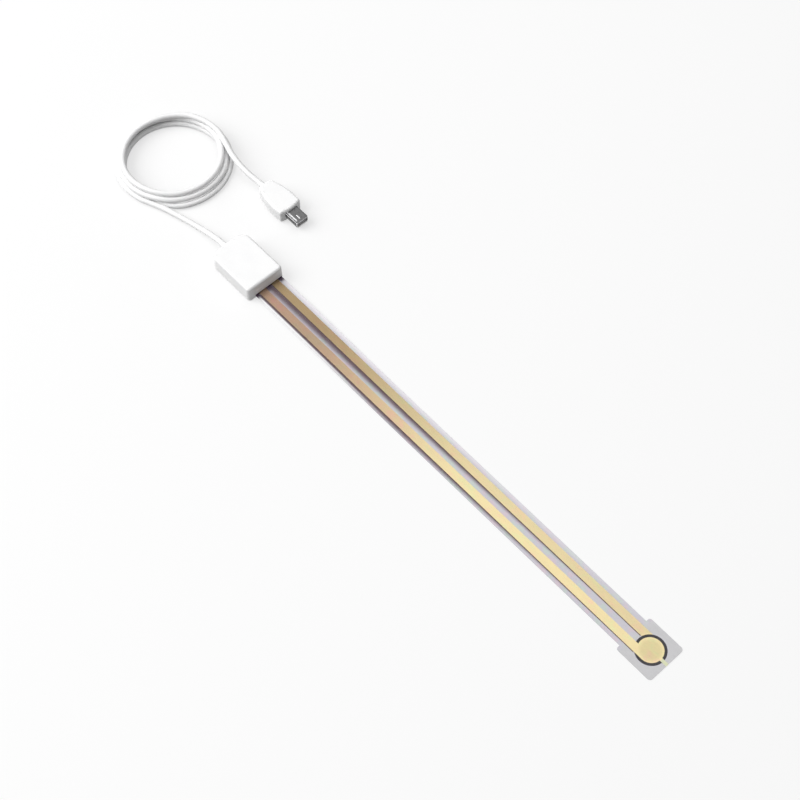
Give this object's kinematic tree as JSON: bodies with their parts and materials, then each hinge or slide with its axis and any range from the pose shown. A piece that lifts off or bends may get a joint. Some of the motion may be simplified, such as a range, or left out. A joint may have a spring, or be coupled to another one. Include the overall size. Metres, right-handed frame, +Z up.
{
  "type": "force sensing resistor",
  "caption": "Thin film force sensor strip with a round sensing head, a small moulded housing on its tail, and a coiled cable that ends in a flat plug.",
  "frame": {"origin": "middle of the round sensing area, on the strip's underside", "axes": "+X along the strip from the housing to the head's end edge, +Y across the strip, +Z up out of the sensing face"},
  "size_m": [0.2535, 0.0402, 0.0061],
  "materials": {
    "clear_film": "clear polyester film with a slight milky sheen",
    "printed_conductor": "printed conductor, pale gold, satin",
    "sensing_ink": "matt black printed ink",
    "adhesive": "clear adhesive between the films",
    "tinned_terminal": "tinned sheet metal",
    "white_housing": "white moulded plastic, fine satin",
    "board": "green laminate with solder resist",
    "black_resin": "black moulded resin",
    "grey_resin": "grey moulded resin",
    "tan_ceramic": "fired ceramic body",
    "solder": "solder",
    "red_insulation": "extruded wire insulation",
    "black_insulation": "extruded wire insulation",
    "green_insulation": "extruded wire insulation",
    "white_insulation": "extruded wire insulation",
    "white_cable": "white flexible jacket, smooth satin",
    "white_plug": "white overmoulded plastic",
    "plated_shell": "nickel-plated rolled sheet",
    "gilt_contact": "gold-plated contact"
  },
  "bodies": {
    "root": {"base_film": "clear_film", "lower_electrode": "printed_conductor", "lower_ink": "sensing_ink", "spacer_adhesive": "adhesive", "upper_ink": "sensing_ink", "upper_electrode": "printed_conductor", "top_film": "clear_film", "lower_terminal": "tinned_terminal", "upper_terminal": "tinned_terminal", "housing_base": "white_housing", "housing_cover": "white_housing", "circuit_board": "board", "amplifier_chip": "black_resin", "chip_leads": "tinned_terminal", "chip_resistors": "black_resin", "chip_capacitors": "tan_ceramic", "solder_joints": "solder", "red_conductor": "red_insulation", "black_conductor": "black_insulation", "green_conductor": "green_insulation", "white_conductor": "white_insulation", "strain_relief": "white_cable", "housing_lead": "white_cable", "cable_coil": "white_cable", "plug_lead": "white_cable", "plug_body": "white_plug", "plug_shell": "plated_shell", "plug_insulator": "grey_resin", "plug_contacts": "gilt_contact"}
  },
  "joints": []
}
